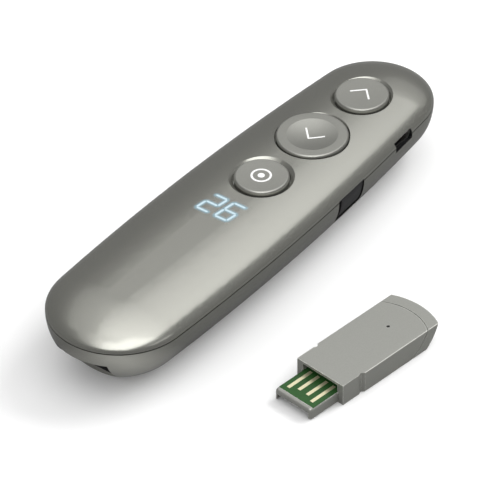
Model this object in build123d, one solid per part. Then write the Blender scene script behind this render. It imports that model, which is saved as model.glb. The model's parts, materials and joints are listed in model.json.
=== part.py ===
from build123d import *
from math import atan2, cos, degrees, radians, sin, sqrt, tan
import os

# Wireless presentation clicker with its USB receiver lying beside it.
# Millimetres. X runs from the tail to the head, Y to the left, Z up.
# The origin is the middle of the flat strip that the handset rests on.

os.makedirs("parts", exist_ok=True)

# ---------------------------------------------------------------- driving sizes

# Handset casing
body_length = 136.6
body_width = 38.2
tail_taper = 0.8          # how much the tail's radius falls short of half the width
head_taper = 3.5          # the same at the head
hull_depth = 15.0         # from the resting strip up to the parting plane
crown_rise = 4.45         # from the parting plane up to the crown
pole_flat = 0.2           # radius of the flat where the head's curve would end in a point
shell_wall = 1.6
seam_gap = 0.3            # shadow line between the two casings
rim_land = 0.95           # outer lip of the top casing, outside the tongue
tongue_height = 0.55
tongue_thickness = 0.45
tongue_root = 0.5         # how deep the tongue starts inside the lower casing's wall
tongue_clearance = 0.1
overshoot = 1.0           # how far a cut runs past what it cuts

# Keys
key_setback = 20.1        # from the head's tip to the middle of the previous key
key_pitch = 20.9
small_key_radius = 6.95
large_key_radius = 9.2
key_gap = 0.34            # all round each key in its hole
key_travel = 0.5
key_proud = 0.45          # how far a key's rim stands above the crown
key_edge_radius = 0.55
key_skirt = 1.1           # wall of the hollow cap
key_flange_width = 0.9    # the rim that keeps a key in its hole
key_flange_thickness = 0.7
key_flange_gap = 0.15
well_width = 1.15         # bevelled well round each small key
well_depth = 0.75
large_well_width = 0.3    # the same two sizes for the large key's narrow bevel
large_well_depth = 0.3
large_dish_radius = 6.5
large_dish_depth = 0.55
small_dish_depth = 0.06   # shallow enough to look flat, and keeps the printed signs below the rim
plunger_radius = 1.5
stem_radius = 1.9
stem_gap = 0.15           # from a pressed key's stem to the switch's lid

# Boards and what stands on them
board_thickness = 1.0
board_gap = 0.5           # from the slider's flange to the board's edge
board_setback = 8.3       # from the head's tip to the board
board_tail_gap = 5.6      # from the display to the board's tail end
board_corner = 1.5
tact_width = 6.0
tact_height = 1.7
tact_base = 0.5
tact_lid = 0.35
tact_corner = 0.5
plunger_clearance = 0.12
foot_width = 0.5          # rim of a plunger's foot
foot_thickness = 0.35
foot_gap = 0.1            # below the foot of a pressed plunger
screw_radius = 0.8
screw_length = 2.65
screw_fit = 0.05          # a screw's shank in its pilot hole
screw_hole_gap = 0.1      # round the screw in the board
screw_tip_gap = 0.3
screw_head_radius = 1.5
screw_head_height = 0.8
boss_radius = 1.9
boss_end_gap = 3.5        # from the board's tail end to the first pair of bosses
boss_inset = 7.2          # from the casing's side to the middle of a boss
side_boss_shift = 7.3     # from the next key towards the head
processor_size = 6.0
processor_height = 0.9
processor_setback = 29.0  # from the board's head end to the middle of the chip
processor_y = -5.0
radio_length = 14.0
radio_width = 10.0
radio_height = 1.8
radio_setback = 27.0
radio_y = 5.0
antenna_length = 8.0
antenna_width = 1.6
antenna_height = 1.0
antenna_edge_gap = 0.6

# Charging port, a micro-USB socket
port_setback = 24.5       # from the head's tip to the middle of the socket
port_width = 7.4
port_height = 2.3
port_depth = 5.2
port_chamfer = 0.8
port_metal = 0.3
port_tongue_width = 3.85
port_tongue_thickness = 0.6
port_tongue_drop = 0.05   # underside of the tongue below the socket's middle
port_tongue_recess = 0.9
port_recess = 1.1         # from the casing's rim in to the port's mouth
port_clearance = 0.15
port_corner = 0.2         # bevelled corners of its slot in the casing

# Power switch
slider_setback = 48.85    # from the head's tip to the middle of its window
window_length = 11.1
window_height = 6.6       # from its lower edge up to the parting plane, where it is open
window_corner = 0.5
slider_travel = 1.3
slider_gap = 0.2
slider_flush = 0.3        # how far the knob sits below the casing's surface
slider_flange_width = 1.1
slider_flange_thickness = 0.8
slider_flange_drop = 0.4  # from the parting plane to the flange's top
switch_length = 9.0
switch_depth = 3.6
switch_height = 3.2
switch_standoff = 2.0     # from the slider's flange to the switch
lever_length = 1.6
lever_gap = 0.15
lever_reach = 2.2         # how far the lever reaches into the switch
lever_play = 0.1

# Display of two seven-segment figures
display_key_gap = 2.85    # from the pointer key's flange to the display
display_y = 0.4
figure_height = 7.0
figure_width = 3.9
figure_pitch = 5.6
segment_width = 0.9
segment_gap = 0.35
figure_slant = 7.0        # degrees
display_wall = 1.1
diffuser_thickness = 0.3
light_board_thickness = 0.6
light_width = 0.6
light_height = 0.4
crown_clearance = 0.3

# Battery
battery_height = 5.6
battery_edge = 1.2
battery_side_gap = 9.6    # from the casing's side to the battery
battery_head_gap = 0.6    # from the battery to the power switch
battery_tail_gap = 6.9    # from the receiver's bay to the battery
battery_clearance = 0.3
battery_lift = 0.6        # between the battery and the board above it
cradle_wall = 1.2
cradle_setback = 5.0      # from each end of the battery to its cradle

# Pointer light
barrel_gap = 0.15         # between the barrel's collar and the board above it
barrel_radius = 2.9
barrel_bore = 1.45
barrel_length = 15.0
barrel_setback = 7.5      # from the head's tip to the barrel's front
collar_radius = 3.3
collar_length = 3.0
pointer_window_radius = 2.1
pointer_window_thickness = 1.1
pointer_window_clearance = 0.05
window_setback = 5.8      # from the head's tip to the start of the window's tube
window_step = 0.6         # from there to the window
holder_half = 4.2
holder_wall = 0.9
holder_fit = 0.03
holder_end_gap = 2.0      # from the barrel's back to the holder
holder_collar_gap = 1.0   # from the holder to the barrel's collar

# Receiver
receiver_width = 16.0
receiver_height = 5.95
receiver_body_length = 35.2   # from the case's front face to the middle of the cap's edge
nose_width = 15.3
nose_length = 5.6
shoulder_length = 1.8
case_top_wall = 0.8
case_edge = 0.25
cap_length = 3.1
cap_seam = 0.2
cap_flush = 0.03              # how far the cap lies inside the handset's surface when docked
case_end_wall = 1.2           # wall of the case behind the cap
cap_slope = 2.1               # how much steeper the cap's seam runs than its end
groove_depth = 0.35           # snap grooves in the two sides, behind the nose
groove_width = 0.36
light_hole_radius = 0.48
light_hole_x = 23.9
light_pipe_fit = 0.04
light_pipe_recess = 0.25
plug_length = 9.6
plug_width = 12.0             # a full-size USB plug's tongue
plug_thickness = 2.85
plug_base = 0.3               # underside of the plug above the case's underside
plug_wall = 0.8
plug_floor = 0.45             # under the board
plug_corner = 0.9
plug_edge = 0.7               # rounded upper edge of the front
plug_front_rim = 1.2
plug_side_rim = 0.28
usb_board_thickness = 0.8
usb_board_proud = 0.03
usb_board_inner = 25.5
usb_board_fit = 0.02
usb_chip_x = 11.0
usb_chip_size = 6.0
usb_chip_height = 1.0
frame_inner = 8.0             # how far the frame reaches into the case
mouth_side = 0.15             # beside the plug frame in the case's mouth
mouth_top = 5.25
contact_outer = 3.87
contact_inner = 1.39
contact_width = 0.95
contact_outer_setback = 1.35
contact_inner_setback = 2.5
contact_end = 1.0
contact_thickness = 0.05

# Where the receiver lies, and the bay that it goes home in
receiver_rest_x = -32.3
receiver_rest_y = -47.0
receiver_turn = -7.1          # degrees
bay_floor = 4.35
bay_clearance = 0.15
bay_wall = 0.9
bay_end_gap = 0.6
cover_thickness = 0.9
cover_gap = 0.15              # between the cover and the casing's inner face
cover_setback = 1.5           # from the lip to the cover
lip_cut = 8.3                 # how far in from the tail's tip the lower lip is cut straight
lip_chamfer = 1.3
lip_depth = 3.0               # solid behind the cut, up to the bay's floor
detent_radius = 0.6
detent_height = 0.4           # how far each bump stands into the bay

# ---------------------------------------------------------------- worked out from them

half_length = body_length / 2
half_width = body_width / 2
tail_radius = half_width - tail_taper
head_radius = half_width - head_taper
tail_x = tail_radius - half_length
head_x = half_length - head_radius
crown_z = hull_depth + crown_rise
curve_span = head_radius - pole_flat

# Each side is one large arc, tangent to both end arcs and to the full width.
span_x = head_x - tail_x
taper_root = sqrt(head_taper * tail_taper * (span_x**2 - (head_taper - tail_taper) ** 2))
side_reach = head_taper * (span_x**2 + tail_taper * (head_taper - tail_taper))
side_reach = side_reach / (head_taper * span_x + taper_root)
side_radius = (side_reach**2 / head_taper + head_radius + half_width) / 2
side_x = head_x - side_reach
side_drop = side_radius - half_width
head_angle = degrees(atan2(side_drop, head_x - side_x))
tail_angle = degrees(atan2(side_drop, tail_x - side_x))

# Whatever stands on the board keeps its distance from the head's tip.
board_head_x = half_length - board_setback
board_top = hull_depth - port_height / 2
board_bottom = board_top - board_thickness
previous_key_x = half_length - key_setback
next_key_x = previous_key_x - key_pitch
pointer_key_x = next_key_x - key_pitch
key_spots = {
    "pointer": (pointer_key_x, small_key_radius),
    "next": (next_key_x, large_key_radius),
    "previous": (previous_key_x, small_key_radius),
}
small_dish_radius = small_key_radius - key_edge_radius
port_x = half_length - port_setback
slider_x = half_length - slider_setback
mask_half_x = figure_height / 2 + segment_width / 2 + display_wall
key_flange_reach = small_key_radius + key_flange_width
display_x = pointer_key_x - key_flange_reach - display_key_gap - mask_half_x
mask_half_y = (figure_pitch + figure_width + segment_width) / 2 + display_wall
board_tail_x = display_x - mask_half_x - board_tail_gap
pointer_z = board_bottom - barrel_gap - collar_radius
flange_inset = shell_wall + slider_gap
flange_inner = flange_inset + slider_flange_thickness


# ---------------------------------------------------------------- the casing's form

def outline(inset):
    """Plan of the handset, drawn in by inset all round: four tangent arcs."""
    arcs = [
        CenterArc((head_x, 0), head_radius - inset, -head_angle, 2 * head_angle),
        CenterArc((side_x, -side_drop), side_radius - inset, head_angle, tail_angle - head_angle),
        CenterArc((tail_x, 0), tail_radius - inset, tail_angle, 360 - 2 * tail_angle),
        CenterArc((side_x, side_drop), side_radius - inset, -tail_angle, tail_angle - head_angle),
    ]
    return make_face(arcs)


def half_width_at(x):
    """Half the plan's width at x, between the two end centres."""
    return sqrt(side_radius**2 - (x - side_x) ** 2) - side_drop


def section(plane, inner, reach, span, rise):
    """Section of the pebble: flat in the middle, then a quarter ellipse down to the rim."""
    shoulder = reach - span
    edges = [
        Line((inner, 0), (reach, 0)),
        EllipticalCenterArc((shoulder, 0), span, rise, start_angle=0, arc_size=90),
        Line((inner, rise), (inner, 0)),
    ]
    if shoulder > inner:
        edges.append(Line((shoulder, rise), (inner, rise)))
    return plane * make_face(edges)


def turned(centre_x, centre_y, start, end, inner, reach, span, rise):
    """One stretch of the pebble: its section turned about a vertical axis."""
    turn = radians(start)
    plane = Plane(
        origin=(centre_x, centre_y, 0),
        x_dir=(cos(turn), sin(turn), 0),
        z_dir=(sin(turn), -cos(turn), 0),
    )
    profile = section(plane, inner, reach, span, rise)
    axis = Axis((centre_x, centre_y, 0), (0, 0, 1))
    return revolve(profile, axis, revolution_arc=end - start)


def pebble(inset, rise):
    """Smooth lens standing on the plane z = 0: the casing's form drawn in by inset."""
    span = curve_span - inset
    head = turned(head_x, 0, -head_angle, head_angle, 0, head_radius - inset, span, rise)
    tail = turned(tail_x, 0, tail_angle, 360 - tail_angle, 0, tail_radius - inset, span, rise)
    side_inner = side_drop - overshoot
    side_outer = side_radius - inset
    side = turned(side_x, -side_drop, head_angle, tail_angle, side_inner, side_outer, span, rise)
    side &= Pos(0, half_width, rise / 2) * Box(2 * body_length, body_width, 2 * rise)
    return (head + tail + side + mirror(side, Plane.XZ)).clean()


def dome(inset, rise):
    return Pos(0, 0, hull_depth) * pebble(inset, rise)


def hull(inset, depth):
    return Pos(0, 0, hull_depth) * mirror(pebble(inset, depth), Plane.XY)


def block(x_low, x_high, y_low, y_high, z_low, z_high):
    size = (x_high - x_low, y_high - y_low, z_high - z_low)
    middle = ((x_low + x_high) / 2, (y_low + y_high) / 2, (z_low + z_high) / 2)
    return Pos(*middle) * Box(*size)


def post(x, y, radius, z_low, z_high):
    return Pos(x, y, (z_low + z_high) / 2) * Cylinder(radius, z_high - z_low)


def turned_profile(points, x=0.0):
    """Solid of revolution about a vertical axis at x, from (radius, z) corners."""
    face = Plane.XZ * make_face(Polyline(*points, close=True))
    return Pos(x, 0, 0) * revolve(face, Axis.Z)


def skin_height(x, y, inset, rise):
    """Height of pebble(inset, rise) above its plane at x and y."""
    span = curve_span - inset
    depth_in = side_radius - inset - sqrt((x - side_x) ** 2 + (abs(y) + side_drop) ** 2)
    if x > head_x:
        depth_in = min(depth_in, head_radius - inset - sqrt((x - head_x) ** 2 + y**2))
    if x < tail_x:
        depth_in = min(depth_in, tail_radius - inset - sqrt((x - tail_x) ** 2 + y**2))
    if depth_in >= span:
        return rise
    return rise * sqrt(1 - ((span - depth_in) / span) ** 2)


inner_rise = crown_rise - shell_wall
inner_depth = hull_depth - shell_wall
outer_dome = dome(0, crown_rise)
inner_dome = dome(shell_wall, inner_rise)
outer_hull = hull(0, hull_depth)
inner_hull = hull(shell_wall, inner_depth)
ceiling_z = hull_depth + inner_rise

solids = {}

# ---------------------------------------------------------------- keys

cap_rim_z = crown_z + key_proud
cap_inner_z = cap_rim_z - key_skirt
foot_z = board_top + tact_base + foot_gap + key_travel
foot_radius = plunger_radius + foot_width
plunger_top = board_top + tact_height + tact_lid + stem_gap + key_travel


def flange_top_at(x, radius):
    """Highest level at which a key's flange clears the curved ceiling all round."""
    reach = radius + key_flange_width
    heights = []
    for turn in range(0, 360, 15):
        rim_x = x + reach * cos(radians(turn))
        rim_y = reach * sin(radians(turn))
        heights.append(skin_height(rim_x, rim_y, shell_wall, inner_rise))
    return hull_depth + min(heights) - key_flange_gap


def key_cap(x, radius, dish_radius, dish_depth):
    """Hollow cap with a rolled edge, a dished face, a flange inside and a stem to the switch."""
    flange_top = flange_top_at(x, radius)
    flange_bottom = flange_top - key_flange_thickness
    skin_z = cap_inner_z - dish_depth
    cap = post(x, 0, radius, flange_bottom, cap_rim_z)
    cap = fillet(cap.edges().group_by(Axis.Z)[-1], key_edge_radius)
    cap += post(x, 0, radius + key_flange_width, flange_bottom, flange_top)
    cap -= post(x, 0, radius - key_skirt, flange_bottom, skin_z)
    cap += post(x, 0, stem_radius, plunger_top, skin_z)
    ball_radius = (dish_radius**2 + dish_depth**2) / (2 * dish_depth)
    return cap - Pos(x, 0, cap_rim_z + ball_radius - dish_depth) * Sphere(ball_radius)


def plunger(x):
    """Switch plunger that the stem rests on: a pin with a foot inside the housing."""
    foot = post(x, 0, foot_radius, foot_z, foot_z + foot_thickness)
    return foot + post(x, 0, plunger_radius, foot_z, plunger_top)


def tact_housing(x):
    """Square switch housing, open above for its plunger."""
    half = tact_width / 2
    low = board_top + tact_base
    high = board_top + tact_height
    housing = block(x - half, x + half, -half, half, board_top, high + tact_lid)
    housing = fillet(housing.edges().filter_by(Axis.Z), tact_corner)
    housing -= post(x, 0, foot_radius + plunger_clearance, low, high)
    housing -= post(x, 0, plunger_radius + plunger_clearance, high, high + tact_lid)
    return housing


housings = []
for name, (x, radius) in key_spots.items():
    dish = (small_dish_radius, small_dish_depth)
    if name == "next":
        dish = (large_dish_radius, large_dish_depth)
    solids[name + "_button"] = key_cap(x, radius, *dish)
    solids[name + "_plunger"] = plunger(x)
    housings.append(tact_housing(x))
solids["tact_switches"] = Compound(children=housings)

# ---------------------------------------------------------------- charging port

port_mouth_y = port_recess - half_width_at(port_x)
port_back_y = port_mouth_y + port_depth
port_z = board_top + port_height / 2


def port_profile(shrink):
    """Front view of a micro-USB socket: flat top, lower corners cut off."""
    face = Rectangle(port_width, port_height)
    face = chamfer(face.vertices().group_by(Axis.Y)[0], port_chamfer)
    return offset(face, amount=-shrink) if shrink else face


def port_prism(shrink, y_low, y_high):
    plane = Plane(origin=(port_x, y_high, port_z), x_dir=(1, 0, 0), z_dir=(0, -1, 0))
    return extrude(plane * port_profile(shrink), y_high - y_low)


port_shell = port_prism(0, port_mouth_y, port_back_y)
port_shell -= port_prism(port_metal, port_mouth_y, port_back_y - port_metal)
solids["charge_port_shell"] = port_shell
solids["charge_port_tongue"] = block(
    port_x - port_tongue_width / 2,
    port_x + port_tongue_width / 2,
    port_mouth_y + port_tongue_recess,
    port_back_y - port_metal,
    port_z - port_tongue_drop,
    port_z - port_tongue_drop + port_tongue_thickness,
)
port_plane = Plane(origin=(port_x, port_back_y, port_z), x_dir=(1, 0, 0), z_dir=(0, -1, 0))
slot_width = port_width + 2 * port_clearance
slot_height = port_height + 2 * port_clearance
slot_shape = chamfer(Rectangle(slot_width, slot_height).vertices(), port_corner)
port_slot = extrude(port_plane * slot_shape, half_width)

# ---------------------------------------------------------------- top casing

first_boss_x = board_tail_x + boss_end_gap
left_boss_x = (pointer_key_x + next_key_x) / 2
right_boss_x = next_key_x + side_boss_shift
boss_spots = []
for x, side in ((first_boss_x, 1), (first_boss_x, -1), (left_boss_x, 1), (right_boss_x, -1)):
    boss_spots.append((x, side * (half_width_at(x) - boss_inset)))
screw_top = board_bottom + screw_length
bosses = Part()
for x, y in boss_spots:
    bosses += post(x, y, boss_radius, board_top, crown_z)
    bosses -= post(x, y, screw_radius, board_top, screw_top + screw_tip_gap)
below_skin = dome(shell_wall / 2, crown_rise - shell_wall / 2)
below_skin += extrude(outline(shell_wall / 2), -hull_depth).moved(Pos(0, 0, hull_depth))

top = outer_dome - inner_dome
top -= extrude(outline(-overshoot), seam_gap / 2).moved(Pos(0, 0, hull_depth))
rebate = extrude(outline(rim_land), seam_gap / 2 + tongue_height + tongue_clearance)
top -= rebate.moved(Pos(0, 0, hull_depth))
top += bosses & below_skin
for name, (x, radius) in key_spots.items():
    hole_radius = radius + key_gap
    bevel = large_well_width if name == "next" else well_width
    depth = large_well_depth if name == "next" else well_depth
    top -= post(x, 0, hole_radius, hull_depth, crown_z + overshoot)
    corners = [
        (0, crown_z - depth),
        (hole_radius, crown_z - depth),
        (hole_radius + bevel, crown_z),
        (hole_radius + bevel, crown_z + overshoot),
        (0, crown_z + overshoot),
    ]
    top -= turned_profile(corners, x)
top -= port_slot
solids["top_shell"] = top

# ---------------------------------------------------------------- receiver's place in the bay


def hull_reach(z):
    """How far the tail's surface stands from the tail's centre at height z."""
    lift = (hull_depth - z) / hull_depth
    return tail_radius - curve_span * (1 - sqrt(1 - lift**2))


receiver_z = bay_floor + bay_clearance
bay_half = receiver_width / 2 + bay_clearance
bay_top = receiver_z + receiver_height + bay_clearance
dock_front_x = tail_x - hull_reach(receiver_z + receiver_height) + receiver_body_length
bay_end_x = dock_front_x + plug_length + bay_end_gap
lip_x = lip_cut - half_length
groove_x = nose_length + shoulder_length / 2

# ---------------------------------------------------------------- bottom casing

bottom = outer_hull - inner_hull
bottom -= extrude(outline(-overshoot), -seam_gap / 2).moved(Pos(0, 0, hull_depth))
tongue_inset = rim_land + tongue_clearance
tongue_ring = outline(tongue_inset) - outline(tongue_inset + tongue_thickness)
tongue = extrude(tongue_ring, tongue_root + seam_gap + tongue_height)
bottom += tongue.moved(Pos(0, 0, hull_depth - seam_gap / 2 - tongue_root))

# Walls and floor of the receiver's bay, then its pocket, open at the tail.
within_wall = hull(shell_wall / 2, hull_depth - shell_wall / 2)
bay_outer_half = bay_half + bay_wall
bay_outer = block(
    -half_length,
    bay_end_x + bay_wall,
    -bay_outer_half,
    bay_outer_half,
    bay_floor - bay_wall,
    bay_top,
)
past_tail_x = -half_length - overshoot
lip = block(lip_x, lip_x + lip_depth, -bay_half, bay_half, 0, bay_floor)
bottom += (bay_outer + lip) & within_wall
bottom -= block(past_tail_x, bay_end_x, -bay_half, bay_half, bay_floor, bay_top)
bottom -= block(past_tail_x, lip_x, -bay_half, bay_half, -overshoot, bay_top)
lip_corners = [
    (lip_x - overshoot, bay_floor - lip_chamfer - overshoot),
    (lip_x - overshoot, bay_floor + overshoot),
    (lip_x + lip_chamfer + overshoot, bay_floor + overshoot),
]
lip_edge = make_face(Polyline(*lip_corners, close=True))
bottom -= extrude(Plane.XZ * lip_edge, bay_half, both=True)
for side in (-1, 1):
    bump_y = side * (bay_half + detent_radius - detent_height)
    bump = post(dock_front_x - groove_x, bump_y, detent_radius, bay_floor, bay_top)
    bottom += bump & bay_outer

# Cradle walls that hold the battery, standing on the hull.
battery_tail_x = bay_end_x + bay_wall + battery_tail_gap
battery_head_x = slider_x - switch_length / 2 - battery_head_gap
battery_half = half_width - battery_side_gap
cradle_tail_x = battery_tail_x + cradle_setback
cradle_head_x = battery_head_x - cradle_setback
battery_bottom = board_bottom - battery_lift - battery_height
cradle_half = battery_half + battery_clearance
cradle_outer = cradle_half + cradle_wall
cradle = block(
    cradle_tail_x,
    cradle_head_x,
    -cradle_outer,
    cradle_outer,
    0,
    battery_bottom + battery_height / 2,
)
cradle -= block(
    cradle_tail_x,
    cradle_head_x,
    -cradle_half,
    cradle_half,
    battery_bottom,
    battery_bottom + battery_height,
)
cradle -= block(
    cradle_tail_x + cradle_wall,
    cradle_head_x - cradle_wall,
    -cradle_half,
    cradle_half,
    0,
    battery_bottom,
)
bottom += cradle & within_wall

# Tube that carries the pointer's window, and its bore out of the head.


def rod(radius, x_low, x_high, z):
    plane = Plane(origin=(x_low, 0, z), x_dir=(0, 1, 0), z_dir=(1, 0, 0))
    return extrude(plane * Circle(radius), x_high - x_low)


window_bore = pointer_window_radius + pointer_window_clearance
tube_x = half_length - window_setback
tube = rod(window_bore + shell_wall / 2, tube_x, half_length, pointer_z)
bottom += tube & within_wall
bottom -= rod(window_bore, tube_x - overshoot, half_length + overshoot, pointer_z)

bottom -= port_slot

# Window for the power slider.
window_bottom = hull_depth - window_height
tongue_top = hull_depth + seam_gap / 2 + tongue_height


def side_panel(x, length, z_low, z_high, corner):
    """Upright panel with rounded lower corners, run out of the casing's right-hand side."""
    middle = (x, -half_width / 2, (z_low + z_high) / 2)
    plane = Plane(origin=middle, x_dir=(1, 0, 0), z_dir=(0, -1, 0))
    shape = Rectangle(length, z_high - z_low)
    shape = fillet(shape.vertices().group_by(Axis.Y)[0], corner)
    return extrude(plane * shape, half_width)


window_opening_top = tongue_top + overshoot
bottom -= side_panel(slider_x, window_length, window_bottom, window_opening_top, window_corner)
solids["bottom_shell"] = bottom

cover = block(
    lip_x + cover_setback,
    bay_end_x + bay_wall,
    -bay_outer_half,
    bay_outer_half,
    bay_top,
    bay_top + cover_thickness,
)
solids["bay_cover"] = cover & hull(shell_wall + cover_gap, inner_depth - cover_gap)

# ---------------------------------------------------------------- power slider

knob_length = window_length - slider_travel - 2 * slider_gap
knob_x = slider_x + slider_travel / 2
knob_low = window_bottom + slider_gap
behind_flange = hull(flange_inner, hull_depth - flange_inner)
knob = side_panel(knob_x, knob_length, knob_low, hull_depth, window_corner - slider_gap)
knob &= hull(slider_flush, hull_depth - slider_flush)
knob -= behind_flange
flange_length = knob_length + 2 * slider_flange_width
flange_low = knob_low - slider_flange_width
flange_top = hull_depth - slider_flange_drop
flange = side_panel(knob_x, flange_length, flange_low, flange_top, window_corner)
flange &= hull(flange_inset, hull_depth - flange_inset)
flange -= behind_flange
lever_half = lever_length / 2
lever_z = board_bottom - switch_height / 2
switch_front_y = flange_inner + switch_standoff - half_width_at(slider_x)
drive_y = switch_front_y - lever_gap
drive = block(
    knob_x - lever_length,
    knob_x + lever_length,
    -half_width,
    drive_y,
    lever_z - lever_half,
    lever_z + lever_half,
)
drive_inset = (flange_inset + flange_inner) / 2
drive &= hull(drive_inset, hull_depth - drive_inset)
solids["power_slider"] = knob + flange + drive

solids["switch_lever"] = block(
    knob_x - lever_half,
    knob_x + lever_half,
    drive_y,
    switch_front_y + lever_reach,
    lever_z - lever_half,
    lever_z + lever_half,
)
switch = block(
    slider_x - switch_length / 2,
    slider_x + switch_length / 2,
    switch_front_y,
    switch_front_y + switch_depth,
    board_bottom - switch_height,
    board_bottom,
)
lever_room = lever_half + slider_travel / 2 + slider_gap
switch -= block(
    slider_x - lever_room,
    slider_x + lever_room,
    switch_front_y,
    switch_front_y + lever_reach + lever_play,
    lever_z - lever_half - lever_play,
    lever_z + lever_half + lever_play,
)
solids["switch_housing"] = switch

# ---------------------------------------------------------------- main board

board = extrude(outline(flange_inner + board_gap), board_thickness)
board = board.moved(Pos(0, 0, board_bottom))
board &= block(board_tail_x, board_head_x, -half_width, half_width, board_bottom, board_top)
board = fillet(board.edges().filter_by(Axis.Z).group_by(Axis.X)[0], board_corner)
screws = []
for x, y in boss_spots:
    board -= post(x, y, screw_radius + screw_hole_gap, board_bottom, board_top)
    head = post(x, y, screw_head_radius, board_bottom - screw_head_height, board_bottom)
    screws.append(head + post(x, y, screw_radius - screw_fit, board_bottom, screw_top))
solids["main_board"] = board
solids["board_screws"] = Compound(children=screws)


def centred_block(x, y, length, width, z_low, z_high):
    return Pos(x, y, (z_low + z_high) / 2) * Box(length, width, z_high - z_low)


solids["processor_chip"] = centred_block(
    board_head_x - processor_setback,
    processor_y,
    processor_size,
    processor_size,
    board_bottom - processor_height,
    board_bottom,
)
solids["radio_module"] = centred_block(
    board_head_x - radio_setback,
    radio_y,
    radio_length,
    radio_width,
    board_bottom - radio_height,
    board_bottom,
)
solids["antenna"] = centred_block(
    board_tail_x + antenna_edge_gap + antenna_width / 2,
    0,
    antenna_width,
    antenna_length,
    board_top,
    board_top + antenna_height,
)
battery = block(
    battery_tail_x,
    battery_head_x,
    -battery_half,
    battery_half,
    battery_bottom,
    battery_bottom + battery_height,
)
solids["battery"] = fillet(battery.edges().filter_by(Axis.X), battery_edge)

# ---------------------------------------------------------------- display


def segment(across, along, upright):
    """One segment of a leaning figure: a bar with pointed ends about its middle."""
    length = figure_height / 2 if upright else figure_width
    half = (length - segment_gap) / 2
    tip = segment_width / 2
    straight = half - tip
    corners = [(half, 0), (straight, tip), (-straight, tip), (-half, 0), (-straight, -tip), (straight, -tip)]
    if upright:
        corners = [(-y, x) for x, y in corners]
    lean = tan(radians(figure_slant))
    placed = [(across + x + lean * (along + y), along + y) for x, y in corners]
    return make_face(Polyline(*placed, close=True))


def figure_segments(across):
    """The seven segments of one figure, upright along Y, with its middle at across."""
    level = [segment(across, row * figure_height / 2, False) for row in (-1, 0, 1)]
    upright = []
    for side in (-1, 1):
        for row in (-1, 1):
            segment_x = across + side * figure_width / 2
            upright.append(segment(segment_x, row * figure_height / 4, True))
    return level + upright


display_plane = Plane(origin=(display_x, display_y, 0), x_dir=(0, -1, 0), z_dir=(0, 0, 1))
light_top = board_top + light_board_thickness
diffuser_top = ceiling_z - crown_clearance
mask_top = diffuser_top - diffuser_thickness


def display_layer(z_low, z_high):
    return centred_block(display_x, display_y, 2 * mask_half_x, 2 * mask_half_y, z_low, z_high)


mask = display_layer(light_top, mask_top)
lights = []
for side in (-1, 1):
    for face in figure_segments(side * figure_pitch / 2):
        opening = display_plane.offset(light_top) * face
        mask -= extrude(opening, mask_top - light_top)
        middle = opening.center()
        lights.append(centred_block(
            middle.X, middle.Y, light_width, light_width, light_top, light_top + light_height
        ))
solids["display_mask"] = mask
solids["display_lights"] = Compound(children=lights)
solids["display_diffuser"] = display_layer(mask_top, diffuser_top)
solids["display_board"] = display_layer(board_top, light_top)

# ---------------------------------------------------------------- pointer light

barrel_front = half_length - barrel_setback
barrel_back = barrel_front - barrel_length
barrel = rod(barrel_radius, barrel_back, barrel_front, pointer_z)
barrel += rod(collar_radius, barrel_front - collar_length, barrel_front, pointer_z)
barrel -= rod(barrel_bore, barrel_front - collar_length, barrel_front, pointer_z)
solids["pointer_barrel"] = barrel
holder = block(
    barrel_back + holder_end_gap,
    barrel_front - collar_length - holder_collar_gap,
    -holder_half,
    holder_half,
    pointer_z - barrel_radius - holder_wall,
    board_bottom,
)
holder -= rod(barrel_radius + holder_fit, barrel_back, barrel_front, pointer_z)
solids["pointer_holder"] = holder
window_x = tube_x + window_step
window_end_x = window_x + pointer_window_thickness
solids["pointer_window"] = rod(pointer_window_radius, window_x, window_end_x, pointer_z)

# ---------------------------------------------------------------- receiver

# Its own frame: X from the plug to the cap, zero at the case's front face and underside.


def hull_from_receiver(inset, depth):
    """The handset's hull as the docked receiver sees it."""
    return Rot(0, 0, 180) * Pos(-dock_front_x, 0, -receiver_z) * hull(inset, depth)


def receiver_block():
    """Case and cap before they are parted: nose, snap grooves and straight sides."""
    half_nose = nose_width / 2
    half_body = receiver_width / 2
    groove_start = groove_x - groove_width / 2
    groove_end = groove_x + groove_width / 2
    far = receiver_body_length + overshoot
    side = [
        (0, half_nose),
        (nose_length, half_nose),
        (groove_start, half_nose - groove_depth),
        (groove_end, half_nose - groove_depth),
        (nose_length + shoulder_length, half_body),
        (far, half_body),
    ]
    other = [(x, -y) for x, y in reversed(side)]
    prism = extrude(make_face(Polyline(*side, *other, close=True)), receiver_height)
    long_edges = prism.edges().filter_by(Axis.X).group_by(SortBy.LENGTH)[-1]
    return fillet(long_edges, case_edge)


whole = receiver_block() & hull_from_receiver(cap_flush, hull_depth)
inner_end = hull_from_receiver(cap_length + cap_seam, hull_depth - cap_slope)
outer_end = hull_from_receiver(cap_length, hull_depth - cap_slope + cap_seam)
case = whole & inner_end
mouth_half = plug_width / 2 + mouth_side
cavity_top = receiver_height - case_top_wall
cavity_end_x = receiver_body_length - cap_length - case_end_wall
plug_top = plug_base + plug_thickness
plug_room_top = plug_top + mouth_side
pocket_half = plug_width / 2 - plug_side_rim
case -= block(-overshoot, nose_length, -mouth_half, mouth_half, plug_base, plug_room_top)
case -= block(-overshoot, nose_length, -pocket_half, pocket_half, plug_base, mouth_top)
case -= block(nose_length, cavity_end_x, -mouth_half, mouth_half, plug_base, cavity_top)
case -= post(light_hole_x, 0, light_hole_radius, cavity_top, receiver_height)
cap = whole - outer_end

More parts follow.
